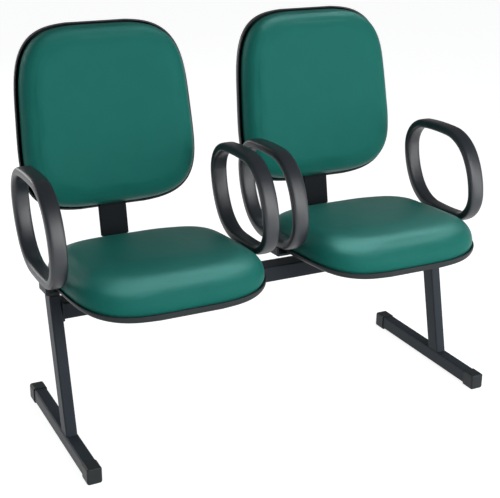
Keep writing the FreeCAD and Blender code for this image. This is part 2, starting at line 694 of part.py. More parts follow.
BOLT_R = size("plate_bolt / 2")
HOLE_R = size("plate_bolt / 2 + hole_play")
SCREW_R = size("screw_thick / 2")
SCREW_HOLE_R = size("screw_thick / 2 + screw_play / 2")
BARREL_HOLE_R = size("tee_barrel / 2") + size("tee_play") / 2
FLANGE_HOLE_R = size("tee_flange / 2 + tee_play")
FLANGE_HOLE_DEEP = size("tee_flange_high + tee_play")
PLY_LOW = size("shell_wall + rest_gap")
PLY_TOP = PLY_LOW + size("seat_ply")
SEAT_RIM = size("seat_rim + rest_gap")


def points(pairs):
    return [(size(a), size(b)) for a, b in pairs]


# The seat, layer by layer from below: tray, plywood, foam, cover.


def seat_shell_shape():
    rim, wall, tuck = size("seat_rim"), size("shell_wall"), size("tray_tuck")
    tray = seat_loft(0, rim, 0.0, tuck=tuck)
    tray = tray.cut(seat_loft(wall, rim + OVER, wall, tuck=tuck))
    for a, b in points(SEAT_HOLES):
        tray = tray.cut(rod(HOLE_R, Vec(a, b, -OVER), Vec(a, b, wall + OVER)))
    for a, b in points(SEAT_SCREWS):
        tray = tray.cut(rod(SCREW_HOLE_R, Vec(a, b, -OVER), Vec(a, b, wall + OVER)))
    return tray


def seat_ply_shape():
    board = seat_loft(PLY_LOW, PLY_TOP, size("ply_inset"))
    for a, b in points(SEAT_HOLES):
        above = Vec(a, b, PLY_TOP + OVER)
        board = board.cut(rod(BARREL_HOLE_R, Vec(a, b, PLY_LOW - OVER), above))
        board = board.cut(rod(FLANGE_HOLE_R, Vec(a, b, PLY_TOP - FLANGE_HOLE_DEEP), above))
    for a, b in points(SEAT_SCREWS):
        board = board.cut(rod(SCREW_R, Vec(a, b, PLY_LOW - OVER), Vec(a, b, PLY_LOW + size("screw_bite"))))
    return board


def seat_cushion(inset, base):
    full, reveal = size("seat_rim + seat_pad"), size("pad_reveal")
    return cushion(seat_station, on_seat, SEAT_RIM, base, full, reveal, inset, False)


def seat_foam_shape():
    """The foam, with a pocket below for the plywood, whose edge it laps over."""
    pocket_tool = seat_loft(SEAT_RIM - OVER, PLY_TOP + size("foam_gap"), size("ply_inset - foam_gap"))
    return seat_cushion(size("skin + rest_gap"), SEAT_RIM).cut(pocket_tool)


def cover_shape(cushion_of, rim):
    """The upholstery: a skin round the foam, open underneath."""
    return cushion_of(0.0, rim).cut(cushion_of(size("skin"), rim - OVER))


# The back in the same way: rear shell, plywood, foam, cover.


def screw_seat(a, b):
    """Where a rear shell screw's head sits, and where its boss meets the plywood."""
    point = on_back({"at": b})
    return point(a, size("screw_recess - back_shell")), point(a, -size("back_ply + rest_gap + 1"))


SLEEVE_WIDE = "(strap_wide + 2 * sleeve_wall)"
SLEEVE_THICK = "(strap_thick + 2 * sleeve_wall)"


def back_shell_shape():
    depth, wall, tuck = size("back_shell"), size("shell_wall"), size("shell_tuck")
    rim = -size("back_rim + rest_gap")
    outer = back_loft(-depth, rim, 0.0, tuck=tuck)
    shell = outer.cut(back_loft(wall - depth, rim + OVER, wall, tuck=tuck))
    recess = Vec(0, size("screw_recess"), 0)
    past = Vec(0, OVER, 0)
    for a, b in points(BACK_SCREWS):
        head, foot = screw_seat(a, b)
        shell = shell.fuse(rod(size("boss_wide / 2"), foot, head + recess).common(outer))
        shell = shell.cut(rod(SCREW_HOLE_R, foot - past, head + past))
        shell = shell.cut(rod(size("recess_wide / 2"), head, head + recess + past))
    play = size("sleeve_play")
    wide, thick = size(SLEEVE_WIDE) + 2 * play, size(SLEEVE_THICK) + 2 * play
    high = 2 * size("shell_fall")
    corner = Vec(-wide / 2, STRAP_BEHIND - thick / 2, -size("back_tall / 2") - high / 2)
    return shell.cut(Part.makeBox(wide, thick, high, corner))


def back_ply_shape():
    rear, front = -size("back_ply"), size("back_curve / 2")
    board = back_loft(rear, 0.0, size("ply_inset"))
    for a, b in points(BACK_HOLES):
        board = board.cut(rod(BARREL_HOLE_R, Vec(a, front - OVER, b), Vec(a, front - rear + OVER, b)))
        board = board.cut(rod(FLANGE_HOLE_R, Vec(a, front - OVER, b), Vec(a, front + FLANGE_HOLE_DEEP, b)))
    for a, b in points(BACK_SCREWS):
        start = on_back({"at": b})(a, rear)
        end = start - Vec(0, size("rear_screw_bite + foam_gap"), 0)
        board = board.cut(rod(SCREW_R, end, start + Vec(0, OVER, 0)))
    return board


def back_cushion(inset, base):
    full, reveal = size("back_pad"), size("back_reveal")
    return cushion(back_station, on_back, -size("back_rim"), base, full, reveal, inset, True)


def back_foam_shape():
    rim = -size("back_rim")
    pocket_tool = back_loft(rim - OVER, size("rest_gap"), size("ply_inset - foam_gap"))
    return back_cushion(size("skin + rest_gap"), rim).cut(pocket_tool)


# The back bar: flat steel from under the seat, bent up into the back's rear shell.


def drill(name, body, places):
    """A body with bolt holes: each starts at a place and runs along its Z axis."""
    rods = []
    for place in places:
        hole = Part.makeCylinder(HOLE_R, size("back_shell + 2 * strap_thick"))
        hole.Placement = place
        rods.append(hole)
    tool = doc.addObject("Part::Feature", name + "_holes")
    tool.Shape = Part.makeCompound(rods)
    drilled = doc.addObject("Part::Cut", name)
    drilled.Base = body
    drilled.Tool = tool
    return keep(drilled, name)


def make_strap(name, side):
    body = new_body(name + "_flat")
    path = new_sketch(body, "path", "YZ_Plane")
    rise_long = "(back_rise - strap_top)"
    lean = math.radians(STRAP_LEAN)
    upright = Vec(math.sin(lean), math.cos(lean), 0)
    bend = Vec(size("bar_reach"), -STRAP_BELOW, 0)
    reach = size("strap_bend") * math.tan((math.pi / 2 - lean) / 2)
    turn_in = bend - Vec(reach, 0, 0)
    turn_out = bend + upright * reach
    start = Vec(-size("strap_front"), bend.y, 0)
    circle = Part.Circle(turn_in + Vec(0, size("strap_bend"), 0), Z_AXIS, size("strap_bend"))
    flat = path.addGeometry(Part.LineSegment(start, turn_in), False)
    arc = path.addGeometry(Part.ArcOfCircle(circle, -math.pi / 2, -lean), False)
    rise = path.addGeometry(Part.LineSegment(turn_out, bend + upright * size(rise_long)), False)
    path.addConstraint(Sketcher.Constraint("Tangent", flat, 2, arc, 1))
    path.addConstraint(Sketcher.Constraint("Tangent", arc, 2, rise, 1))
    path.addConstraint(Sketcher.Constraint("Horizontal", flat))
    constrain(path, "DistanceX", (-1, 1, flat, 1), "-strap_front", "front")
    constrain(path, "DistanceY", (-1, 1, flat, 1), f"-{BELOW}", "below")
    constrain(path, "Radius", (arc,), "strap_bend", "bend")
    constrain(path, "DistanceX", (-1, 1, rise, 2), f"bar_reach + {rise_long} * sin({LEAN} * 1 deg)", "top_a")
    constrain(path, "DistanceY", (-1, 1, rise, 2), f"{rise_long} * cos({LEAN} * 1 deg) - {BELOW}", "top_b")
    index = path.addConstraint(Sketcher.Constraint("Angle", rise, math.pi / 2 - lean))
    path.renameConstraint(index, "lean")
    path.setExpression("Constraints.lean", bound(f"(90 - {LEAN}) * 1 deg"))
    section = new_sketch(body, "section", "XZ_Plane", offset="strap_front")
    half, thick = "strap_wide / 2", "strap_thick / 2"
    corners = [(f"-{half}", f"-{BELOW} - {thick}"), (half, f"-{BELOW} - {thick}")]
    corners += [(half, f"{thick} - {BELOW}"), (f"-{half}", f"{thick} - {BELOW}")]
    add_polygon(section, "section", corners)
    pipe = body.newObject("PartDesign::AdditivePipe", name + "_pipe")
    pipe.Profile = section
    pipe.Spine = (path, ["Edge1", "Edge2", "Edge3"])
    seat = seat_place(side)
    back = back_place(side)
    body.Placement = seat
    below = -STRAP_BELOW - size("strap_thick")
    places = [seat.multiply(Place(Vec(a, b, below), Turn())) for a, b in points(STRAP_HOLES)]
    places += [back.multiply(Place(Vec(a, 0, b), Turn(X_AXIS, -90))) for a, b in points(BACK_HOLES)]
    drill(name, body, places)


def make_sleeve(name, side):
    """The moulded sleeve on the bar's upright, up to the rear shell."""
    body = new_body(name)
    ring = new_sketch(body, "section", "XY_Plane")
    add_rectangle(ring, "outer", SLEEVE_WIDE, SLEEVE_THICK, "sleeve_corner")
    play = "2 * rest_gap"
    add_rectangle(ring, "inner", f"strap_wide + {play}", f"strap_thick + {play}", "sleeve_corner / 8")
    pad(body, ring, "back_rise - sleeve_up - back_tall / 2 + sleeve_in")
    start = Vec(0, STRAP_BEHIND, size("sleeve_up - back_rise"))
    keep(body, name, back_place(side).multiply(Place(start, Turn())))


# Fasteners, each made along Z: what bears on the work is at the origin.


def hexagon(across):
    side = across / math.sqrt(3)
    corners = [Turn(Z_AXIS, 60 * i).multVec(Vec(side, 0, 0)) for i in range(7)]
    return Part.Face(Part.makePolygon(corners))


def hex_bolt(thread, length, across, head_high):
    """The head hangs below the origin and the shank points up."""
    head = hexagon(across).extrude(Vec(0, 0, -head_high))
    return head.fuse(Part.makeCylinder(thread / 2, length)).removeSplitter()


def hex_nut(thread, across, high):
    """A nut from the origin up."""
    block = hexagon(across).extrude(Vec(0, 0, high))
    return block.cut(rod(thread / 2 + size("rest_gap / 2"), Vec(0, 0, -1), Vec(0, 0, high + 1)))


def tee_nut():
    """A flanged nut, hollow for its bolt; the flange's outer face is at the origin, the barrel below."""
    long = size("tee_long")
    flange = rod(size("tee_flange / 2"), Vec(0, 0, -size("tee_flange_high")), Vec(0, 0, 0))
    barrel = rod(size("tee_barrel / 2"), Vec(0, 0, -long), Vec(0, 0, 0))
    bore = rod(BOLT_R + size("rest_gap / 2"), Vec(0, 0, -long - 1), Vec(0, 0, 1))
    return flange.fuse(barrel).cut(bore).removeSplitter()


def pan_screw(length, head_wide, head_high):
    """A round-headed screw: its head hangs below the origin and the shank points up."""
    head = Part.makeCylinder(head_wide / 2, head_high, Vec(0, 0, -head_high))
    outer = [e for e in head.Edges if all(v.Z < -0.01 for v in e.Vertexes)]
    head = head.makeFillet(head_high * 0.6, outer[:1])
    return head.fuse(Part.makeCylinder(SCREW_R - size("rest_gap / 2"), length)).removeSplitter()


# The saddle bracket: a folded channel under the seat whose cheeks straddle the beam.

# The beam's centre line as the seat's frame sees it.
BEAM_DOWN = "(beam_up - seat_up + seat_forward * tan(seat_tilt * 1 deg))"


def make_saddle(name, side):
    body = new_body(name + "_channel")
    front = f"saddle_long / 2 - {SADDLE_MIDDLE}"
    half, gap = "saddle_wide / 2", "(saddle_wide / 2 - saddle_sheet)"
    low = f"({BEAM_DOWN} + beam_high / 2 - saddle_grip)"
    outer = new_sketch(body, "outer", "XZ_Plane", offset=front)
    add_polygon(outer, "u", [(f"-{half}", low), (half, low), (half, "-rest_gap"), (f"-{half}", "-rest_gap")])
    block = pad(body, outer, "saddle_long", backwards=True)
    doc.recompute()
    names = []
    for i, edge in enumerate(block.Shape.Edges, start=1):
        if along(edge, X_AXIS) and all(v.Z < size(low) + 0.01 for v in edge.Vertexes):
            names.append(f"Edge{i}")
    slope = body.newObject("PartDesign::Chamfer", name + "_slope")
    slope.Base = (block, names)
    slope.setExpression("Size", bound("saddle_slope"))
    inner = new_sketch(body, "inner", "XZ_Plane", offset=front)
    under = "-rest_gap - saddle_sheet"
    below = f"{low} - saddle_sheet"
    add_polygon(inner, "u", [(f"-{gap}", below), (gap, below), (gap, under), (f"-{gap}", under)])
    pocket(body, inner, "saddle_long")
    holes = new_sketch(body, "holes", "XY_Plane")
    add_circles(holes, "bolt", SADDLE_HOLES + STRAP_HOLES, "plate_bolt / 2 + hole_play")
    pocket(body, holes)
    body.Placement = seat_place(side)
    notch = doc.addObject("Part::Box", name + "_notch")
    notch.setExpression("Length", bound("saddle_wide + 20"))
    notch.setExpression("Width", bound("beam_deep + 2 * slip"))
    notch.setExpression("Height", bound("beam_high + rest_gap"))
    corner = Vec(-size("saddle_wide / 2 + 10"), -size("beam_deep / 2 + slip"), -size("beam_high / 2"))
    middle = Vec(side * size("seat_pitch / 2"), 0, 0)
    notch.Placement = BEAM.multiply(Place(middle + corner, Turn()))
    saddle = doc.addObject("Part::Cut", name)
    saddle.Base = body
    saddle.Tool = notch
    keep(saddle, name)


def web_height(behind):
    """Height of the saddle web's underside at a distance behind the beam's centre line."""
    tilt = math.radians(size("seat_tilt"))
    drop = size("rest_gap + saddle_sheet") / math.cos(tilt)
    return size("seat_up") - (behind + size("seat_forward")) * math.tan(tilt) - drop


def make_clamp(name, side):
    """The plate under the beam, drawn up against it by four bolts."""
    body = new_body(name)
    plate = new_sketch(body, "plate", "XY_Plane")
    add_rectangle(plate, "plate", "saddle_wide", "clamp_long", "clamp_corner")
    pad(body, plate, "clamp_sheet", backwards=True)
    holes = new_sketch(body, "holes", "XY_Plane")
    add_circles(holes, "bolt", CLAMP_HOLES, "beam_bolt / 2 + hole_play")
    pocket(body, holes)
    under = BEAM.Base.z - size("beam_high / 2 + rest_gap")
    keep(body, name, Place(Vec(side * size("seat_pitch / 2"), BEAM.Base.y, under), Turn()))


# Arms: closed loops of eight arcs, opposite ones alike, drawn in the YZ plane of the seat's frame.
# Each stretch starts where the outline faces the given angle, counted from the rear upwards.

ARM_STRETCHES = [(-32.0, "arm_side"), (-1.0, "arm_tight"), (87.0, "arm_flat"), (97.0, "arm_easy")]


def facing(angle):
    return Vec(0, math.cos(math.radians(angle)), math.sin(math.radians(angle)))


def arm_arcs():
    """Middle, radius and first and last angle of each arc of the loop's centre line, about its middle."""
    starts = [angle + turn for turn in (0, 180) for angle, _ in ARM_STRETCHES]
    radii = [size(name) for _, name in ARM_STRETCHES] * 2
    ends = starts[1:] + [starts[0] + 360]
    arcs = []
    at = Vec(0, 0, 0)
    corners = [at]
    for radius, a, b in zip(radii, starts, ends):
        middle = at - facing(a) * radius
        at = middle + facing(b) * radius
        corners.append(at)
        arcs.append((middle, radius, a, b))
    loop_middle = (corners[0] + corners[len(ARM_STRETCHES)]) * 0.5
    return [(middle - loop_middle, radius, a, b) for middle, radius, a, b in arcs]


def arm_wire(out):
    """The loop's outline at a distance outside its centre line."""
    edges = []
    for middle, radius, a, b in arm_arcs():
        reach = radius + out
        edges.append(Part.Arc(*(middle + facing(t) * reach for t in (a, (a + b) / 2, b))).toShape())
    return Part.Wire(edges)


def arm_low():
    """The lowest level of the loop's outside in the seat's frame."""
    lowest = min(middle.z - radius for middle, radius, a, b in arm_arcs() if a < 270 < b)
    return size("arm_up - arm_thick / 2") + lowest


def lug_boxes(grow):
    """The arm bracket's flat and upright parts, for an arm on the right of its seat."""
    thick, deep = size("lug_thick"), size("lug_deep")
    out, back = size("arm_out"), size("arm_back")
    low = -size("rest_gap") - thick
    start = Vec(out - size("lug_in"), back - deep / 2, low)
    flat = Part.makeBox(size("lug_in") + thick / 2, deep, thick, start)
    high = arm_low() + size("lug_sunk") - low
    corner = Vec(out - thick / 2 - grow, back - deep / 2 - grow, low)
    return flat, Part.makeBox(thick + 2 * grow, deep + 2 * grow, high + grow, corner)


def mirrored(shape):
    return shape.mirror(Vec(0, 0, 0), X_AXIS)


def arm_shape():
    outlines = [arm_wire(size("arm_thick / 2")), arm_wire(-size("arm_thick / 2"))]
    ring = Part.makeFace(outlines, "Part::FaceMakerBullseye")
    half = size("arm_wide / 2")
    loop = ring.extrude(X_AXIS * half * 2)
    loop.translate(X_AXIS * -half)
    rims = [e for e in loop.Edges if abs(abs(e.CenterOfMass.x) - half) < 0.01]
    loop = loop.makeFillet(size("arm_edge"), rims)
    loop.translate(Vec(size("arm_out"), size("arm_back"), size("arm_up")))
    return loop.cut(lug_boxes(size("lug_play"))[1])


def lug_shape():
    flat, upright = lug_boxes(0.0)
    lug = flat.fuse(upright).removeSplitter()
    outside = [e for e in lug.Edges if along(e, Y_AXIS) and e.Vertexes[0].X > size("arm_out")]
    bend = [e for e in outside if e.Vertexes[0].Z < -1]
    lug = lug.makeFillet(size("lug_thick") * 0.9, bend)
    for a, b in points(LUG_HOLES):
        if a > 0:
            lug = lug.cut(rod(HOLE_R, Vec(a, b, -size("lug_thick") - OVER), Vec(a, b, OVER)))
    return lug


def make_frame():
    """Everything of steel, and the mouldings that close its tubes."""
    make_beam()
    for side_name, side in SIDES.items():
        make_end_plate(f"beam_end_plate_{side_name}", side)
        make_spigot(f"beam_spigot_{side_name}", side)
        make_leg(f"leg_column_{side_name}", side)
        make_leg_plug(f"leg_plug_{side_name}", side)
        make_foot_bar(f"foot_bar_{side_name}", side)
        make_foot_cap(f"foot_cap_front_{side_name}", side, rear=False)
        make_foot_cap(f"foot_cap_rear_{side_name}", side, rear=True)
        make_saddle(f"saddle_bracket_{side_name}", side)
        make_clamp(f"beam_clamp_{side_name}", side)
        make_strap(f"back_bar_{side_name}", side)
        make_sleeve(f"back_bar_sleeve_{side_name}", side)


def make_places_to_sit():
    """Seats, backs and arms: each shape is made once and stands in both places."""
    on_seats = {
        "seat_shell": seat_shell_shape(),
        "seat_plywood": seat_ply_shape(),
        "seat_foam": seat_foam_shape(),
        "seat_cover": cover_shape(seat_cushion, SEAT_RIM),
    }
    on_backs = {
        "back_shell": back_shell_shape(),
        "back_plywood": back_ply_shape(),
        "back_foam": back_foam_shape(),
        "back_cover": cover_shape(back_cushion, -size("back_rim")),
    }
    arm = arm_shape()
    lug = lug_shape()
    for side_name, side in SIDES.items():
        for name, shape in on_seats.items():
            feature(f"{name}_{side_name}", shape, seat_place(side))
        for name, shape in on_backs.items():
            feature(f"{name}_{side_name}", shape, back_place(side))
        for where in ("outer", "inner"):
            on_right = (side > 0) == (where == "outer")
            feature(f"arm_{side_name}_{where}", arm if on_right else mirrored(arm), seat_place(side))
            feature(f"arm_bracket_{side_name}_{where}", lug if on_right else mirrored(lug), seat_place(side))


def group(name, shape, places):
    """Copies of a fastener as one sub-part of separate solids."""
    solids = []
    for place in places:
        solid = shape.copy()
        solid.Placement = place
        solids.append(solid)
    return feature(name, Part.makeCompound(solids), Place())


def in_seats(pairs, level):
    """Places in both seats' frames, pointing up."""
    spots = [Place(Vec(a, b, level), Turn()) for a, b in points(pairs)]
    return [seat_place(side).multiply(spot) for side in SIDES.values() for spot in spots]


def in_backs(spots):
    """Places in both backs' frames, pointing forward."""
    forward = [Place(spot, Turn(X_AXIS, 90)) for spot in spots]
    return [back_place(side).multiply(spot) for side in SIDES.values() for spot in forward]


def make_plywood_bolts():
    """Bolts from below or behind into the plywood, and the nuts they meet there."""
    thread, across, head = size("plate_bolt"), size("plate_bolt_head"), size("plate_head_high")
    grip = PLY_TOP + size("rest_gap - foam_gap")
    web = -size("rest_gap + saddle_sheet")
    under_bar = web - size("rest_gap + strap_thick")
    under_lug = -size("rest_gap + lug_thick")
    bolts = {
        "saddle_bolts": (SADDLE_HOLES, web),
        "back_bar_bolts": (STRAP_HOLES, under_bar),
        "arm_bolts": (LUG_HOLES, under_lug),
    }
    for name, (pairs, level) in bolts.items():
        shape = hex_bolt(thread, grip - size("rest_gap") - level, across, head)
        group(name, shape, in_seats(pairs, level))
    behind = STRAP_BEHIND + size("strap_thick / 2")
    back_bolt = hex_bolt(thread, size("strap_thick + rest_gap + back_ply - foam_gap"), across, head)
    group("back_bolts", back_bolt, in_backs([Vec(a, behind, b) for a, b in points(BACK_HOLES)]))
    nut = tee_nut()
    group("seat_tee_nuts", nut, in_seats(SEAT_HOLES, PLY_TOP))
    front = size("back_curve / 2")
    group("back_tee_nuts", nut, in_backs([Vec(a, front, b) for a, b in points(BACK_HOLES)]))


def make_shell_screws():
    tray_screw = pan_screw(size("shell_wall + screw_bite"), size("tray_screw_head"), size("tray_head_high"))
    group("seat_shell_screws", tray_screw, in_seats(SEAT_SCREWS, 0.0))
    rear_long = size("back_shell - back_ply - rest_gap - screw_recess + rear_screw_bite")
    rear_screw = pan_screw(rear_long, size("rear_screw_head"), size("rear_head_high"))
    group("back_shell_screws", rear_screw, in_backs([screw_seat(a, b)[0] for a, b in points(BACK_SCREWS)]))


def make_beam_bolts():
    """The stub tubes' bolts, whose nuts are inside the beam, and the clamps' bolts and nuts."""
    thread, across = size("beam_bolt"), size("beam_bolt_head")
    head, nut_high = size("beam_head_high"), size("beam_nut_high")
    nut = hex_nut(thread, across, nut_high)
    walls = size("2 * beam_wall + slip")
    low = size("beam_up - beam_high / 2")
    bolt = hex_bolt(thread, walls + nut_high + size("bolt_past"), across, head)
    spots = [Vec(size(a), BEAM.Base.y, low) for a, _ in SPIGOT_HOLES]
    group("spigot_bolts", bolt, [Place(spot, Turn()) for spot in spots])
    group("spigot_nuts", nut, [Place(spot + Vec(0, 0, walls), Turn()) for spot in spots])
    low -= size("rest_gap + clamp_sheet")
    heads = []
    nuts = []
    for side in SIDES.values():
        for a, b in points(CLAMP_HOLES):
            at = Vec(side * size("seat_pitch / 2") + a, BEAM.Base.y + b, 0)
            heads.append(Place(at + Vec(0, 0, low), Turn()))
            nuts.append(Place(at + Vec(0, 0, web_height(b) - nut_high - 3 * size("rest_gap")), Turn()))
    rear = max(b for _, b in points(CLAMP_HOLES))
    bolt = hex_bolt(thread, web_height(rear) - low - size("bolt_short"), across, head)
    group("clamp_bolts", bolt, heads)
    group("clamp_nuts", nut, nuts)


make_frame()
make_places_to_sit()
make_plywood_bolts()
make_shell_screws()
make_beam_bolts()

doc.recompute()
failed = [obj.Name for obj in doc.Objects if "Invalid" in obj.State or "Error" in obj.State]
if failed:
    raise RuntimeError(f"these objects failed: {failed}")
os.makedirs("parts", exist_ok=True)
whole = FreeCAD.BoundBox()
for name, obj in sorted(nodes.items()):
    shape = obj.Shape
    if shape.isNull() or not shape.isValid() or not shape.Solids:
        raise RuntimeError(f"{name} has no valid solid")
    whole.add(shape.BoundBox)
    print(f"{name}: {len(shape.Solids)} solid(s), {shape.Volume / 1000:.1f} cm3")
    shape.exportStep(f"parts/{name}.step")
print(f"{len(nodes)} sub-parts, box {whole.XLength:.1f} x {whole.YLength:.1f} x {whole.ZLength:.1f} mm")
print("from", [round(v, 2) for v in (whole.XMin, whole.YMin, whole.ZMin)])
print("to", [round(v, 2) for v in (whole.XMax, whole.YMax, whole.ZMax)])
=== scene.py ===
# %% [markdown]
# # A two-place beam seating
# Two upholstered seats with backs and loop arms are bolted to one black steel beam, which stands on two raked legs.
# The steelwork, shells and fasteners come from the CAD model, which stays as it is. This script gives every surface
# its finish, and makes new meshes for the pieces that a maker would sew, stuff or mould: the cushions and the arms.

# %% Load the frame
import json
import math

import bmesh
import bpy
from mathutils import Matrix, Vector


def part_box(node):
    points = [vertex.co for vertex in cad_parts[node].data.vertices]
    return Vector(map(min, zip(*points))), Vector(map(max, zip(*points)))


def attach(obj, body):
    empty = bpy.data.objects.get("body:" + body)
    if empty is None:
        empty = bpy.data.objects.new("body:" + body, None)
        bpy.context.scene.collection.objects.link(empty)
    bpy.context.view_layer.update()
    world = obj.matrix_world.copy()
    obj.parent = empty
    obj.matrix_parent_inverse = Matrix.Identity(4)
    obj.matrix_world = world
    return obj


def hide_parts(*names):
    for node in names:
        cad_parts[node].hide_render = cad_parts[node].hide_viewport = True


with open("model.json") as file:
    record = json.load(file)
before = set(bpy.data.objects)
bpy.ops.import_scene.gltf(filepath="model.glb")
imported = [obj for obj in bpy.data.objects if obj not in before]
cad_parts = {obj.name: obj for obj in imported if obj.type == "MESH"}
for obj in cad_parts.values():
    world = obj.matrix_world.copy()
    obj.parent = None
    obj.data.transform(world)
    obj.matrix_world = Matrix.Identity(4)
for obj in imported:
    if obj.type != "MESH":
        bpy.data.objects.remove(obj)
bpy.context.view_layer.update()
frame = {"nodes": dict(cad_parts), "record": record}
nodes = frame["nodes"]

# %% [markdown]
# ## The sizes that the soft pieces share with the CAD model
# Each seat and each back has its own frame: a point in its middle, and a slope. Everything soft is shaped in that
# frame, lying flat, and is then turned into its place. This keeps the shaping simple, because along, across and up are
# plain x, y and z while the piece is made.

# %% Frames of the seats and the backs
SIDES = {"left": -1, "right": 1}
SEAT_TILT = math.radians(3.4)
BACK_LEAN = math.radians(10.3)
SEAT_MIDDLE_Y = -0.0855
SEAT_UNDERSIDE = 0.375
BACK_MIDDLE = Vector((0.0, 0.2136, 0.6917))


def middle_x(side_name):
    """The middle of a place along the beam, read from its shell."""
    low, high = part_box(f"seat_shell_{side_name}")
    return (low[0] + high[0]) / 2


def seat_frame(side_name):
    """x across, y to the rear, z up from the seat's underside."""
    middle = Vector((middle_x(side_name), SEAT_MIDDLE_Y, SEAT_UNDERSIDE))
    return Matrix.Translation(middle) @ Matrix.Rotation(-SEAT_TILT, 4, "X")


def back_frame(side_name):
    """x across, y up along the back, z forward of the plywood's front."""
    middle = Vector((middle_x(side_name), BACK_MIDDLE.y, BACK_MIDDLE.z))
    return Matrix.Translation(middle) @ Matrix.Rotation(math.pi / 2 - BACK_LEAN, 4, "X")


for side_name in SIDES:
    print(side_name, "place at x =", round(middle_x(side_name), 4))

# %% [markdown]
# ## Camera
# The photo was taken from the front left, a little above the seats, with a long lens. The camera looks at a point near
# the middle of the seating from a distance of about 2.4 m. A small shift sets the seating in the frame as the photo
# has it, and the slight roll is the photo's own.

# %% Camera
LOOK_AT = Vector((-0.1107, -0.1735, 0.44))
DISTANCE = 2.4222
AZIMUTH = math.radians(-26.38)
ELEVATION = math.radians(20.54)
ROLL = math.radians(0.41)
PHOTO_SIZE = (500, 498)
FOCAL_PIXELS = 1072.4
CENTRE_PIXEL = (242.4, 252.2)

towards_camera = Vector((
    math.sin(AZIMUTH) * math.cos(ELEVATION),
    -math.cos(AZIMUTH) * math.cos(ELEVATION),
    math.sin(ELEVATION),
))
camera_data = bpy.data.cameras.new("camera")
camera_data.sensor_width = 36.0
camera_data.lens = FOCAL_PIXELS / PHOTO_SIZE[0] * camera_data.sensor_width
camera_data.shift_x = (PHOTO_SIZE[0] / 2 - CENTRE_PIXEL[0]) / PHOTO_SIZE[0]
camera_data.shift_y = (CENTRE_PIXEL[1] - PHOTO_SIZE[1] / 2) / PHOTO_SIZE[0]
camera = bpy.data.objects.new("camera", camera_data)
turn = towards_camera.to_track_quat("Z", "Y").to_matrix().to_4x4() @ Matrix.Rotation(ROLL, 4, "Z")
camera.matrix_world = Matrix.Translation(LOOK_AT + towards_camera * DISTANCE) @ turn
bpy.context.scene.collection.objects.link(camera)
bpy.context.scene.camera = camera
print("lens", round(camera_data.lens, 1), "mm")

# %% [markdown]
# ## Stage and light
# The photo shows the seating on plain white, lit mainly from the front: the faces of the backs and the fronts of the
# seats are brighter than the tops of the seats. A large soft lamp in front does this. A reflector at each side lights
# the edges, and a lamp behind keeps the rear shells from going black. The floor is white to the camera but keeps a
# soft shadow, so the feet stand on something.

# %% Floor
scene = bpy.context.scene
scene.view_settings.view_transform = "Standard"


def new_object(name, mesh):
    """An object of the scene that holds a mesh."""
    obj = bpy.data.objects.new(name, mesh)
    scene.collection.objects.link(obj)
    return obj


def seen_directly(tree):
    """1 for rays of the camera, and for those that a gloss or a glass sends on; 0 for the light that is scattered."""
    path = tree.nodes.new("ShaderNodeLightPath")
    total = path.outputs["Is Camera Ray"]
    for name in ("Is Glossy Ray", "Is Transmission Ray"):
        more = tree.nodes.new("ShaderNodeMath")
        more.operation = "MAXIMUM"
        tree.links.new(total, more.inputs[0])
        tree.links.new(path.outputs[name], more.inputs[1])
        total = more.outputs[0]
    return total


FLOOR_REACH = 12.0
FLOOR_GREY = 0.5
FLOOR_GLOW = 0.84

floor_bm = bmesh.new()
bmesh.ops.create_grid(floor_bm, x_segments=1, y_segments=1, size=FLOOR_REACH)
floor_mesh = bpy.data.meshes.new("floor")
floor_bm.to_mesh(floor_mesh)
floor_bm.free()
floor = new_object("floor", floor_mesh)

floor_material = bpy.data.materials.new("white floor")
floor_material.use_nodes = True
tree = floor_material.node_tree
tree.nodes.clear()
output = tree.nodes.new("ShaderNodeOutputMaterial")
matte = tree.nodes.new("ShaderNodeBsdfDiffuse")
matte.inputs["Color"].default_value = (FLOOR_GREY, FLOOR_GREY, FLOOR_GREY, 1)
glow = tree.nodes.new("ShaderNodeEmission")
glow.inputs["Strength"].default_value = FLOOR_GLOW
both = tree.nodes.new("ShaderNodeAddShader")
seen = tree.nodes.new("ShaderNodeMixShader")
tree.links.new(matte.outputs[0], both.inputs[0])
tree.links.new(glow.outputs[0], both.inputs[1])
tree.links.new(seen_directly(tree), seen.inputs[0])
tree.links.new(matte.outputs[0], seen.inputs[1])
tree.links.new(both.outputs[0], seen.inputs[2])
tree.links.new(seen.outputs[0], output.inputs["Surface"])
floor_mesh.materials.append(floor_material)
print("floor reaches", FLOOR_REACH, "m each way")

# %% [markdown]
# The world has two faces. The room is the weak, slightly cool light that fills the shadows. The backdrop is what the
# camera and the glossy surfaces see: white near the horizon and darker above, so that tops don't mirror plain white.

# %% World
ROOM_COLOUR = (0.94, 0.97, 1.0)
ROOM_STRENGTH = 0.25
BACKDROP_FADE_HEIGHT = 0.24
BACKDROP_TOP = 0.15

world = bpy.data.worlds.new("studio")
world.use_nodes = True
scene.world = world
tree = world.node_tree
tree.nodes.clear()
output = tree.nodes.new("ShaderNodeOutputWorld")
room = tree.nodes.new("ShaderNodeBackground")
room.inputs["Color"].default_value = (*ROOM_COLOUR, 1)
room.inputs["Strength"].default_value = ROOM_STRENGTH

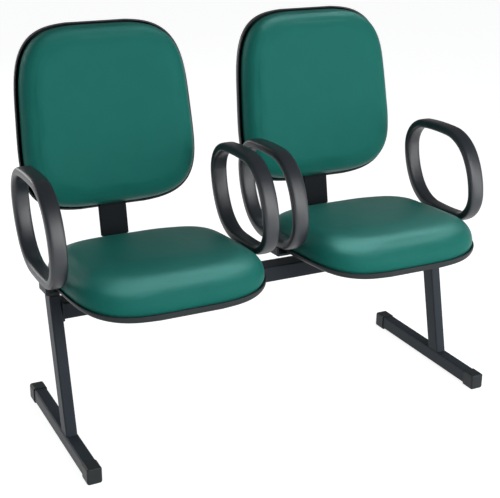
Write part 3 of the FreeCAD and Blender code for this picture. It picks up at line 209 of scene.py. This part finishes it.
ray = tree.nodes.new("ShaderNodeTexCoord")
upward = tree.nodes.new("ShaderNodeSeparateXYZ")
fade = tree.nodes.new("ShaderNodeMapRange")
fade.interpolation_type = "SMOOTHSTEP"
fade.inputs["From Min"].default_value = 0.0
fade.inputs["From Max"].default_value = BACKDROP_FADE_HEIGHT
fade.inputs["To Min"].default_value = 1.0
fade.inputs["To Max"].default_value = BACKDROP_TOP
backdrop = tree.nodes.new("ShaderNodeBackground")
backdrop.inputs["Color"].default_value = (1, 1, 1, 1)
choose = tree.nodes.new("ShaderNodeMixShader")
tree.links.new(ray.outputs["Generated"], upward.inputs[0])
tree.links.new(upward.outputs["Z"], fade.inputs["Value"])
tree.links.new(fade.outputs["Result"], backdrop.inputs["Strength"])
tree.links.new(seen_directly(tree), choose.inputs[0])
tree.links.new(room.outputs[0], choose.inputs[1])
tree.links.new(backdrop.outputs[0], choose.inputs[2])
tree.links.new(choose.outputs[0], output.inputs["Surface"])

# %% [markdown]
# The covers shine along the round front edge of each seat, while the arms and the steel beside them stay dark. A lamp
# overhead makes that shine. Its light is narrow, it adds no diffuse light, and it falls on the cushions only.

# %% Lamps
GLOSS_BOX_SPREAD = math.radians(36)


def soft_lamp(name, place, aim, wide, high, watts):
    """A rectangular lamp at a place, turned to an aim."""
    data = bpy.data.lights.new(name, "AREA")
    data.shape = "RECTANGLE"
    data.size = wide
    data.size_y = high
    data.energy = watts
    lamp = bpy.data.objects.new(name, data)
    turn = (Vector(place) - Vector(aim)).to_track_quat("Z", "Y").to_matrix().to_4x4()
    lamp.matrix_world = Matrix.Translation(place) @ turn
    scene.collection.objects.link(lamp)
    return lamp


soft_lamp("key lamp", (0.8, -3.0, 1.8), (0, -0.1, 0.5), 2.4, 1.8, 71)
soft_lamp("right reflector", (2.3, -2.2, 0.9), (0.2, 0.0, 0.5), 1.2, 1.6, 22)
soft_lamp("left reflector", (-3.0, -0.9, 0.9), (-0.2, 0.0, 0.5), 1.2, 1.6, 7)
soft_lamp("rear lamp", (-1.7, 3.0, 1.5), (0.0, 0.2, 0.5), 2.0, 1.4, 36)
gloss_box = soft_lamp("overhead box", (0.7, -0.15, 2.5), (0.0, -0.40, 0.45), 1.0, 1.9, 20)
gloss_box.visible_diffuse = False
gloss_box.data.spread = GLOSS_BOX_SPREAD
lit_by_gloss_box = bpy.data.collections.new("lit by the overhead box")
gloss_box.light_linking.receiver_collection = lit_by_gloss_box
print(len(bpy.data.lights), "lamps")

# %% [markdown]
# ## Finishes
# A finish is a small tree of shader nodes round one Principled shader. A few helpers keep the trees short: one makes a
# material and hands back its shader, one adds a node and sets its inputs, and the rest build on these two.

# %% Helpers for finishes


def new_finish(name, colour, roughness):
    """A material and its Principled shader."""
    material = bpy.data.materials.new(name)
    material.use_nodes = True
    shader = material.node_tree.nodes["Principled BSDF"]
    shader.inputs["Base Color"].default_value = (*colour, 1)
    shader.inputs["Roughness"].default_value = roughness
    return material, shader


def add_node(material, kind, settings=None, **inputs):
    """A node of the given kind. Inputs may be values or sockets of other nodes; underscores stand for spaces."""
    node = material.node_tree.nodes.new(kind)
    for name, value in (settings or {}).items():
        setattr(node, name, value)
    for name, value in inputs.items():
        socket = node.inputs[int(name[1:])] if name[0] == "_" else node.inputs[name.replace("_", " ")]
        if isinstance(value, bpy.types.NodeSocket):
            material.node_tree.links.new(value, socket)
        else:
            socket.default_value = value
    return node


def maths(material, operation, first, second=0.0):
    """What a maths node makes of one or two values or sockets."""
    return add_node(material, "ShaderNodeMath", {"operation": operation}, _0=first, _1=second).outputs[0]


def blend_colours(material, factor, dark, light):
    """A colour between dark and light, by a factor from 0 to 1."""
    ramp = add_node(material, "ShaderNodeValToRGB", Fac=factor)
    ramp.color_ramp.elements[0].color = (*dark, 1)
    ramp.color_ramp.elements[1].color = (*light, 1)
    return ramp.outputs["Color"]


def bump_from(material, shader, height, distance, strength):
    """Bumps on a finish: a height from 0 to 1, over a distance in metres."""
    bump = add_node(material, "ShaderNodeBump", Height=height, Distance=distance, Strength=strength)
    material.node_tree.links.new(bump.outputs["Normal"], shader.inputs["Normal"])


# %% [markdown]
# ### Black powder coat and moulded black plastic
# The coat on the steel is satin and very slightly uneven, like orange peel. The mouldings are a little duller, with
# a fine spark-eroded grain. Both are near black, never pure black, so that their edges still catch the light.

# %% Powder coat, moulded plastic, arm skin
CLOUDS_PER_METRE = 9.0
GRAIN_STRENGTH = 0.5


def grained(name, colour, roughness, ior, grain_size, depth, cloudiness):
    """A dark finish with a fine grain and faint clouds in its gloss."""
    material, shader = new_finish(name, colour, roughness)
    shader.inputs["IOR"].default_value = ior
    place = add_node(material, "ShaderNodeTexCoord").outputs["Object"]
    grain = add_node(material, "ShaderNodeTexNoise", Vector=place, Scale=1 / grain_size, Detail=2.0)
    clouds = add_node(material, "ShaderNodeTexNoise", Vector=place, Scale=CLOUDS_PER_METRE, Detail=3.0)
    gloss = add_node(material, "ShaderNodeMapRange", Value=clouds.outputs["Fac"])
    gloss.inputs["To Min"].default_value = roughness - cloudiness
    gloss.inputs["To Max"].default_value = roughness + cloudiness
    material.node_tree.links.new(gloss.outputs["Result"], shader.inputs["Roughness"])
    dark = [channel * 0.8 for channel in colour]
    light = [channel * 1.25 for channel in colour]
    tone = blend_colours(material, clouds.outputs["Fac"], dark, light)
    material.node_tree.links.new(tone, shader.inputs["Base Color"])
    bump_from(material, shader, grain.outputs["Fac"], depth, GRAIN_STRENGTH)
    return material


powder_coat = grained("black powder coat", (0.028, 0.036, 0.045), 0.42, 1.22, 0.0016, 0.00010, 0.06)
# The back bars' coat is the steel's coat made darker and duller: its darker colour is painted shade, for the shade
# under the backs.
bar_coat_painted_shade = grained("black bar coat with painted shade", (0.010, 0.013, 0.015), 0.50, 1.15, 0.0016, 0.00010, 0.06)
moulded = grained("moulded black plastic", (0.022, 0.028, 0.030), 0.46, 1.32, 0.0008, 0.00012, 0.05)
arm_skin = grained("black arm skin", (0.018, 0.022, 0.028), 0.40, 1.58, 0.0012, 0.00008, 0.05)
for material in (powder_coat, bar_coat_painted_shade, moulded, arm_skin):
    print(material.name, "has", len(material.node_tree.nodes), "nodes")

# %% [markdown]
# ### Zinc and plywood
# Bolts and nuts are bright zinc with faint patches from the bath. The plywood's grain is a noise that is stretched
# along the board, so it reads as long fibres.

# %% Zinc, plywood
zinc, zinc_shader = new_finish("bright zinc", (0.62, 0.63, 0.62), 0.32)
zinc_shader.inputs["Metallic"].default_value = 1.0
zinc_place = add_node(zinc, "ShaderNodeTexCoord").outputs["Object"]
zinc_clouds = add_node(zinc, "ShaderNodeTexNoise", Vector=zinc_place, Scale=300.0, Detail=3.0)
zinc_tone = blend_colours(zinc, zinc_clouds.outputs["Fac"], (0.5, 0.5, 0.48), (0.7, 0.71, 0.7))
zinc.node_tree.links.new(zinc_tone, zinc_shader.inputs["Base Color"])

plywood, plywood_shader = new_finish("plywood", (0.5, 0.36, 0.22), 0.7)
ply_place = add_node(plywood, "ShaderNodeTexCoord").outputs["Object"]
ply_stretch = add_node(plywood, "ShaderNodeMapping", Vector=ply_place)
ply_stretch.inputs["Scale"].default_value = (90, 6, 90)
ply_grain = add_node(plywood, "ShaderNodeTexNoise", Vector=ply_stretch.outputs[0], Scale=1.0, Detail=6.0)
ply_tone = blend_colours(plywood, ply_grain.outputs["Fac"], (0.36, 0.23, 0.12), (0.62, 0.46, 0.29))
plywood.node_tree.links.new(ply_tone, plywood_shader.inputs["Base Color"])

# %% [markdown]
# ### Seating cloth
# The covers are a close green cloth. Its threads cross over and under each other about a millimetre apart. The pattern
# follows a map that is laid on each cushion as a cloth would lie, so the threads run round the edges without
# stretching. Where a thread lies low its colour is darker, and where it lies high lighter: painted shade between the
# threads. Faint clouds and flecks of yarn keep large faces from looking flat, and the shine is green like the yarn.

# %% Green cloth
THREAD = 0.0011
THREAD_HEIGHT = 0.00022
THREAD_WOBBLE = 0.0006
THREAD_SHADE_SHARE = 0.55
CLOUD_SHARE = 0.30
YARN_SHARE = 0.22
CLOTH_MEAN = (0.017, 0.150, 0.124)
CLOTH_DARK = (0.007, 0.096, 0.078)
CLOTH_LIGHT = (0.014, 0.175, 0.143)
CLOTH_SHINE = (0.40, 0.95, 1.0)
CLOTH_ROUGHNESS = 0.43
CLOTH_IOR = 1.22


def seating_cloth(name):
    """A plain weave: where warp and weft cross, one of the two lies on top."""
    material, shader = new_finish(name, CLOTH_MEAN, CLOTH_ROUGHNESS)
    flat = add_node(material, "ShaderNodeUVMap", {"uv_map": "cloth"}).outputs["UV"]
    wobble = add_node(material, "ShaderNodeTexNoise", Vector=flat, Scale=60.0, Detail=2.0)
    parts = add_node(material, "ShaderNodeSeparateXYZ", Vector=flat)
    shift = maths(material, "MULTIPLY", wobble.outputs["Fac"], THREAD_WOBBLE)
    along = maths(material, "ADD", parts.outputs["X"], shift)
    across = maths(material, "ADD", parts.outputs["Y"], shift)
    warp = maths(material, "SINE", maths(material, "MULTIPLY", along, math.pi / THREAD))
    weft = maths(material, "SINE", maths(material, "MULTIPLY", across, math.pi / THREAD))
    over = maths(material, "GREATER_THAN", maths(material, "MULTIPLY", warp, weft), 0.0)
    warp_high = maths(material, "ABSOLUTE", warp)
    weft_high = maths(material, "ABSOLUTE", weft)
    choose = add_node(material, "ShaderNodeMix", _0=over, _2=weft_high, _3=warp_high)
    height = choose.outputs[0]
    clouds = add_node(material, "ShaderNodeTexNoise", Vector=flat, Scale=14.0, Detail=5.0, Roughness=0.6)
    yarn = add_node(material, "ShaderNodeTexNoise", Vector=flat, Scale=420.0, Detail=2.0)
    # Darker where a thread lies low, lighter where it lies high: painted shade between the threads.
    depth = maths(material, "MULTIPLY", height, THREAD_SHADE_SHARE)
    tint = maths(material, "MULTIPLY", clouds.outputs["Fac"], CLOUD_SHARE)
    fleck = maths(material, "MULTIPLY", yarn.outputs["Fac"], YARN_SHARE)
    factor = maths(material, "ADD", maths(material, "ADD", depth, tint), fleck)
    tone = blend_colours(material, factor, CLOTH_DARK, CLOTH_LIGHT)
    material.node_tree.links.new(tone, shader.inputs["Base Color"])
    shader.inputs["IOR"].default_value = CLOTH_IOR
    shader.inputs["Specular Tint"].default_value = (*CLOTH_SHINE, 1)
    bump_from(material, shader, height, THREAD_HEIGHT, 0.4)
    return material


cloth = seating_cloth("green seating cloth")
print("threads", THREAD * 1000, "mm apart,", len(cloth.node_tree.nodes), "nodes in the cloth")

# %% [markdown]
# ## The CAD nodes that stay
# Tubes, brackets, shells and fasteners already have their true shape and smooth normals, so their meshes are left
# alone. Each only gets its finish, by the material slot that the record gives it; the back bars get a darker, duller
# copy of the steel's coat, and its darker colour is painted shade for the shade under the backs. The covers, the foam
# and the arms are replaced further down, so their finish here isn't seen.

# %% Finish the CAD nodes
FINISH_OF_SLOT = {
    "painted_steel": powder_coat,
    "bracket_steel": powder_coat,
    "black_moulding": moulded,
    "arm_moulding": arm_skin,
    "dark_screws": powder_coat,
    "zinc_fasteners": zinc,
    "plywood": plywood,
    "upholstery": cloth,
    "foam": plywood,
}
slot_of_node = {part["node"]: part["material_slot"] for part in frame["record"]["subparts"]}
for node, obj in nodes.items():
    # The back bars take the darker coat, which is painted shade.
    finish = bar_coat_painted_shade if node.startswith("back_bar_") else FINISH_OF_SLOT[slot_of_node[node]]
    for material_slot in obj.material_slots:
        material_slot.material = finish
arm_nodes = [node for node in nodes if slot_of_node[node] == "arm_moulding"]
print(len(nodes), "nodes finished,", len(arm_nodes), "of them arms")

# %% [markdown]
# ## Rings along an outline
# Cushions are made of rings: the outline of a seat or a back is a rounded square, and each further ring is the same
# outline drawn in a little and lifted a little. The circle that a ring starts from is kept in a layer of the mesh,
# so every ring can be worked out from it afresh.

# %% Ring builder
RING_POINTS = 128


def rounded_square(unit, half_wide, half_long, power):
    """The point of a rounded square that belongs to a point of the unit circle."""
    stretch = 2 / power
    x = math.copysign(abs(unit.x) ** stretch, unit.x) * half_wide
    y = math.copysign(abs(unit.y) ** stretch, unit.y) * half_long
    return x, y


def ring_solid(half_wide, half_long, power, profile):
    """A closed solid from rings; profile lists (inset, height) from the first ring to the last, both are capped."""
    bm = bmesh.new()
    unit = bm.verts.layers.float_vector.new("unit")
    start = bmesh.ops.create_circle(bm, cap_ends=True, segments=RING_POINTS, radius=1.0)
    for vert in start["verts"]:
        vert[unit] = vert.co
    ring = list(bm.faces)
    for number, (inset, height) in enumerate(profile):
        if number:
            made = bmesh.ops.extrude_face_region(bm, geom=ring)
            ring = [item for item in made["geom"] if isinstance(item, bmesh.types.BMFace)]
        for vert in {v for face in ring for v in face.verts}:
            x, y = rounded_square(vert[unit], half_wide - inset, half_long - inset, power)
            vert.co = (x, y, height)
    bmesh.ops.recalc_face_normals(bm, faces=bm.faces)
    return bm


# %% [markdown]
# ## Cushions
# A cushion is moulded foam on plywood with a cloth cover pulled over it. Its sides draw in towards the shell's rim,
# it is widest a little above the rim, and its shoulders round over into a crown. Blender's Cloth then blows the cover
# up a little from inside, as foam pushes it out on the real seat. Each profile below lists (inset, height) in metres,
# from the hidden edge behind the rim to the flat middle of the crown.

# %% Cushion outlines and profiles
SEAT_HALF = (0.228, 0.206)
SEAT_POWER = 3.7
SEAT_PROFILE = [
    (0.0085, -0.0070),
    (0.0052, 0.0000),
    (0.0030, 0.0060),
    (0.0020, 0.0120),
    (0.0020, 0.0180),
    (0.0030, 0.0255),
    (0.0058, 0.0330),
    (0.0098, 0.0390),
    (0.0158, 0.0445),
    (0.0245, 0.0488),
    (0.0370, 0.0518),
    (0.0560, 0.0535),
    (0.0900, 0.0548),
    (0.1400, 0.0558),
    (0.1850, 0.0562),
]

BACK_HALF = (0.221, 0.224)
BACK_POWER = 3.8
BACK_PROFILE = [
    (0.0125, -0.0070),
    (0.0100, 0.0000),
    (0.0078, 0.0060),
    (0.0068, 0.0120),
    (0.0070, 0.0180),
    (0.0080, 0.0250),
    (0.0100, 0.0320),
    (0.0132, 0.0380),
    (0.0180, 0.0432),
    (0.0250, 0.0475),
    (0.0350, 0.0502),
    (0.0520, 0.0518),
    (0.0900, 0.0528),
    (0.1400, 0.0534),
    (0.1800, 0.0537),
]
print("seat", len(SEAT_PROFILE), "rings, back", len(BACK_PROFILE), "rings")

# %% [markdown]
# A flat cushion is bent only when it is placed. The seat's front edge curves down, so that it doesn't press behind the
# knees. The back narrows towards its top, and its sides come forward round the sitter.

# %% Bends of the seat and the back
SEAT_RIM = 0.0127
SEAT_DROP = 0.021
SEAT_FLAT = 0.3
BACK_TAPER = 0.05
BACK_CURVE = 0.020
BACK_RIM = -0.0095


def bend_seat(x, y, z):
    """The front edge of a seat curves down."""
    forward = max(0.0, (-y / SEAT_HALF[1] - SEAT_FLAT) / (1 - SEAT_FLAT))
    return x, y, z + SEAT_RIM - SEAT_DROP * forward**2


def bend_back(x, y, z):
    """A back is narrower at the top, and its sides come forward."""
    x *= 1 - BACK_TAPER * y / BACK_HALF[1]
    return x, y, z + BACK_RIM + BACK_CURVE * ((x / BACK_HALF[0]) ** 2 - 0.5)


print("front edge falls", SEAT_DROP * 1000, "mm, back is", BACK_CURVE * 1000, "mm hollow")

# %% [markdown]
# The simulation wants a mesh of even squares, and rings are far from even: they crowd at the shoulder. So the solid is
# remeshed first. Both steps leave their result as a plain mesh, with no modifier left on it.

# %% Even mesh
VOXEL = 0.005


def evaluated_mesh(obj):
    """The mesh of an object with its modifiers applied."""
    depsgraph = bpy.context.evaluated_depsgraph_get()
    depsgraph.update()
    return bpy.data.meshes.new_from_object(obj.evaluated_get(depsgraph))


def even_mesh(name, bm):
    """The solid remeshed into even squares, which cloth needs."""
    mesh = bpy.data.meshes.new(name)
    bm.to_mesh(mesh)
    bm.free()
    rough = new_object(name + ".rough", mesh)
    remesh = rough.modifiers.new("even", "REMESH")
    remesh.mode = "VOXEL"
    remesh.voxel_size = VOXEL
    even = evaluated_mesh(rough)
    bpy.data.objects.remove(rough)
    return even


# %% [markdown]
# The rim stays pinned while the cover is blown up. Raw cloth keeps small creases, and the photo's covers are taut. So
# the travel of each point is averaged with its neighbours' a few dozen times, and a cap keeps it to a few millimetres.

# %% Blowing up a cover
PINNED_BELOW = 0.006
PRESSURE = 4.0
TRAVEL_CAP = 0.005
FRAMES = 20
CALM_ROUNDS = 40


def calm(mesh, travel, pinned):
    """Evens out how far the points have travelled, so that a taut cover keeps no creases."""
    near = [[] for _ in travel]
    for edge in mesh.edges:
        first, second = edge.vertices
        near[first].append(second)
        near[second].append(first)
    for _ in range(CALM_ROUNDS):
        before = travel
        travel = [sum((before[n] for n in around), Vector()) / len(around) for around in near]
        for index in pinned:
            travel[index] = Vector()
    return travel


def puff(name, mesh):
    """Blows a cushion up with the cloth simulation; the points of the rim stay put."""
    piece = new_object(name + ".slack", mesh)
    start = [v.co.copy() for v in mesh.vertices]
    pinned = [v.index for v in mesh.vertices if v.co.z < PINNED_BELOW]
    group = piece.vertex_groups.new(name="rim")
    group.add(pinned, 1.0, "REPLACE")
    cloth_modifier = piece.modifiers.new("cloth", "CLOTH")
    settings = cloth_modifier.settings
    settings.quality = 5
    settings.mass = 0.4
    settings.tension_stiffness = 25
    settings.compression_stiffness = 25
    settings.shear_stiffness = 10
    settings.bending_stiffness = 3
    settings.use_pressure = True
    settings.uniform_pressure_force = PRESSURE
    settings.effector_weights.gravity = 0
    settings.vertex_group_mass = "rim"
    for number in range(1, FRAMES + 1):
        scene.frame_set(number)
    result = evaluated_mesh(piece)
    scene.frame_set(1)
    travel = [vert.co - before for vert, before in zip(result.vertices, start)]
    travel = calm(result, travel, pinned)
    farthest = max(step.length for step in travel)
    for vert, before, step in zip(result.vertices, start, travel):
        vert.co = before + step * min(1.0, TRAVEL_CAP / max(step.length, 1e-9))
    print(name, "puffed, farthest point", round(farthest * 1000, 1), "mm, cap", TRAVEL_CAP * 1000)
    bpy.data.objects.remove(piece)
    return result


# %% [markdown]
# The cloth's map comes after the simulation. A point on top keeps its own x and y. A point on a side is laid out
# beyond the edge by as much as it hangs below it, so the threads go over the shoulder at an even pitch.

# %% Cushion maker
NEAR_MIDDLE = 0.05


def lay_cloth_map(mesh, top):
    """Lays the cloth's map over a cushion, from its middle outwards."""
    layer = mesh.uv_layers.new(name="cloth")
    for loop in mesh.loops:
        place = mesh.vertices[loop.vertex_index].co
        reach = math.hypot(place.x, place.y)
        hang = max(0.0, top - place.z)
        stretch = 1 + hang / max(reach, NEAR_MIDDLE)
        layer.data[loop.index].uv = (place.x * stretch, place.y * stretch)


def cushion_mesh(name, half, power, profile):
    bm = ring_solid(half[0], half[1], power, profile)
    mesh = even_mesh(name, bm)
    mesh = puff(name, mesh)
    lay_cloth_map(mesh, profile[-1][1])
    return mesh


def place_cushion(name, mesh, bend, matrix, replaced):
    """A copy of a flat cushion, bent, turned into its place and hung on the root body; the CAD parts it stands for are
    hidden.
    """
    mesh = mesh.copy()
    for vert in mesh.vertices:
        vert.co = matrix @ Vector(bend(*vert.co))
    mesh.materials.clear()
    mesh.materials.append(cloth)
    mesh.shade_smooth()
    piece = new_object(name, mesh)
    finer = piece.modifiers.new("finer", "SUBSURF")
    finer.levels = 1
    finer.render_levels = 1
    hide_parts(*replaced)
    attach(piece, "root")
    lit_by_gloss_box.objects.link(piece)


seat_pad = cushion_mesh("seat cushion", SEAT_HALF, SEAT_POWER, SEAT_PROFILE)
back_pad = cushion_mesh("back cushion", BACK_HALF, BACK_POWER, BACK_PROFILE)
for side_name in SIDES:
    replaced = (f"seat_cover_{side_name}", f"seat_foam_{side_name}")
    place_cushion(f"seat_cushion_{side_name}", seat_pad, bend_seat, seat_frame(side_name), replaced)
    replaced = (f"back_cover_{side_name}", f"back_foam_{side_name}")
    place_cushion(f"back_cushion_{side_name}", back_pad, bend_back, back_frame(side_name), replaced)
print(len(seat_pad.polygons), "faces in a seat,", len(back_pad.polygons), "in a back")

# %% [markdown]
# ## Arms
# Each arm is one closed loop of moulded skin foam on a steel core. Its centre line is eight arcs that run smoothly
# into each other, opposite ones alike, so the loop can be made by spinning its section about eight centres in turn.
# The section is a flat rounded bar. It is a little wider at the top, where the forearm rests.

# %% Centre line of an arm
ARM_STRETCHES = [(-32.0, 0.180), (-1.0, 0.068), (87.0, 0.610), (97.0, 0.111)]


def facing(degrees):
    """The direction at an angle up from the rear, in the plane of the loop."""
    return Vector((0, math.cos(math.radians(degrees)), math.sin(math.radians(degrees))))


def arm_arcs():
    """Centre, first angle and last angle of each arc, in the order they are spun."""
    starts = [angle + turn for turn in (0, 180) for angle, _ in ARM_STRETCHES]
    radii = [radius for _, radius in ARM_STRETCHES] * 2
    ends = starts[1:] + [starts[0] + 360]
    at = Vector((0, 0, 0))
    corners = [at]
    arcs = []
    for radius, first, last in zip(radii, starts, ends):
        centre = at - facing(first) * radius
        at = centre + facing(last) * radius
        corners.append(at)
        arcs.append((centre, first, last))
    middle = (corners[0] + corners[4]) / 2
    return [(centre - middle, first, last) for centre, first, last in arcs], corners[0] - middle


print(len(arm_arcs()[0]), "arcs in a loop")

# %% [markdown]
# The section is spun along these arcs, one after the other, until it meets its own start. The doubles where the arcs
# join are merged, and the loop is then drawn in a little towards its foot.

# %% Arm loop
ARM_WIDE = 0.040
ARM_THICK = 0.022
ARM_SECTION_POWER = 3.6
ARM_SECTION_POINTS = 28
ARM_STEP_DEGREES = 4
ARM_HALF_HIGH = 0.12
ARM_DRAWN_IN = 0.022
DOUBLES = 0.0002


def arm_mesh():
    """One closed loop round the origin, wide along x."""
    arcs, start = arm_arcs()
    bm = bmesh.new()
    section = bmesh.ops.create_circle(bm, cap_ends=False, segments=ARM_SECTION_POINTS, radius=1.0)
    outward = facing(arcs[0][1])
    for vert in section["verts"]:
        x, y = rounded_square(vert.co.copy(), ARM_WIDE / 2, ARM_THICK / 2, ARM_SECTION_POWER)
        vert.co = start + Vector((x, 0, 0)) + outward * y
    edges = list(bm.edges)
    for centre, first, last in arcs:
        made = bmesh.ops.spin(
            bm,
            geom=edges,
            cent=centre,
            axis=(1, 0, 0),
            angle=math.radians(last - first),
            steps=max(3, round((last - first) / ARM_STEP_DEGREES)),
            use_duplicate=False,
        )
        edges = [item for item in made["geom_last"] if isinstance(item, bmesh.types.BMEdge)]
    bmesh.ops.remove_doubles(bm, verts=bm.verts, dist=DOUBLES)
    for vert in bm.verts:
        vert.co.x *= 1 + ARM_DRAWN_IN * (vert.co.z / ARM_HALF_HIGH - 1)
    bmesh.ops.recalc_face_normals(bm, faces=bm.faces)
    mesh = bpy.data.meshes.new("arm loop")
    bm.to_mesh(mesh)
    bm.free()
    mesh.shade_smooth()
    return mesh


loop_mesh = arm_mesh()
print(len(loop_mesh.polygons), "faces in a loop")

# %% [markdown]
# The four arms are the same loop. Each stands beside its seat, in the seat's own frame, so it leans with the seat.

# %% Place the arms
ARM_OUT = 0.2495
ARM_MIDDLE = Vector((0.0, 0.044, 0.148))

for node in arm_nodes:
    _, side_name, where = node.split("_")
    outward = SIDES[side_name] * (1 if where == "outer" else -1)
    beside = ARM_MIDDLE + Vector((outward * ARM_OUT, 0, 0))
    mesh = loop_mesh.copy()
    mesh.transform(seat_frame(side_name) @ Matrix.Translation(beside))
    mesh.materials.append(arm_skin)
    piece = new_object(f"{node}.loop", mesh)
    finer = piece.modifiers.new("finer", "SUBSURF")
    finer.levels = 1
    finer.render_levels = 1
    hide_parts(node)
    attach(piece, "root")
